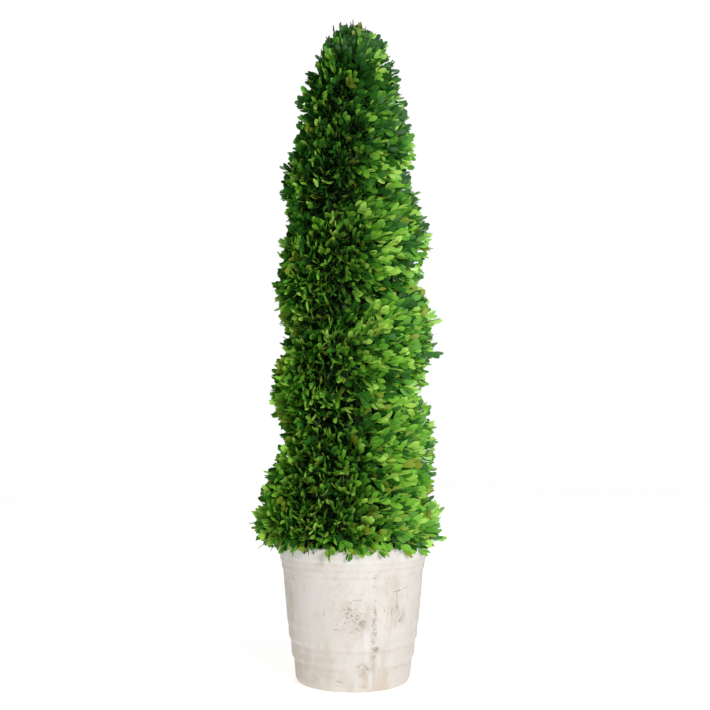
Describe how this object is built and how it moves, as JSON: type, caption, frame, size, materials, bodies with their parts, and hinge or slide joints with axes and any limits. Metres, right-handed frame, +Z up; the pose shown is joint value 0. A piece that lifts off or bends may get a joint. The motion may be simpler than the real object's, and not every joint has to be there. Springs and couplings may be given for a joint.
{
  "type": "potted boxwood spiral topiary",
  "caption": "Upright clipped evergreen shrub cut into a rising spiral, on one hidden trunk, in a banded round terracotta pot; stands on the pot's flat base.",
  "frame": {"origin": "centre of the pot's flat underside, on the surface the pot stands on", "axes": "+Z up along the trunk; -Y is the front, +X the viewer's right from the front"},
  "size_m": [0.3482, 0.3507, 1.2],
  "materials": {
    "whitewashed_terracotta": "matte",
    "potting_mix": "matte",
    "bark": "matte",
    "foliage": "satin"
  },
  "bodies": {
    "root": {"pot": "whitewashed_terracotta", "soil": "potting_mix", "trunk": "bark", "foliage_skirt": "foliage", "foliage_turn_1": "foliage", "foliage_turn_2": "foliage", "foliage_turn_3": "foliage", "foliage_turn_4": "foliage", "foliage_last_turn": "foliage", "foliage_tip": "foliage"}
  },
  "joints": []
}
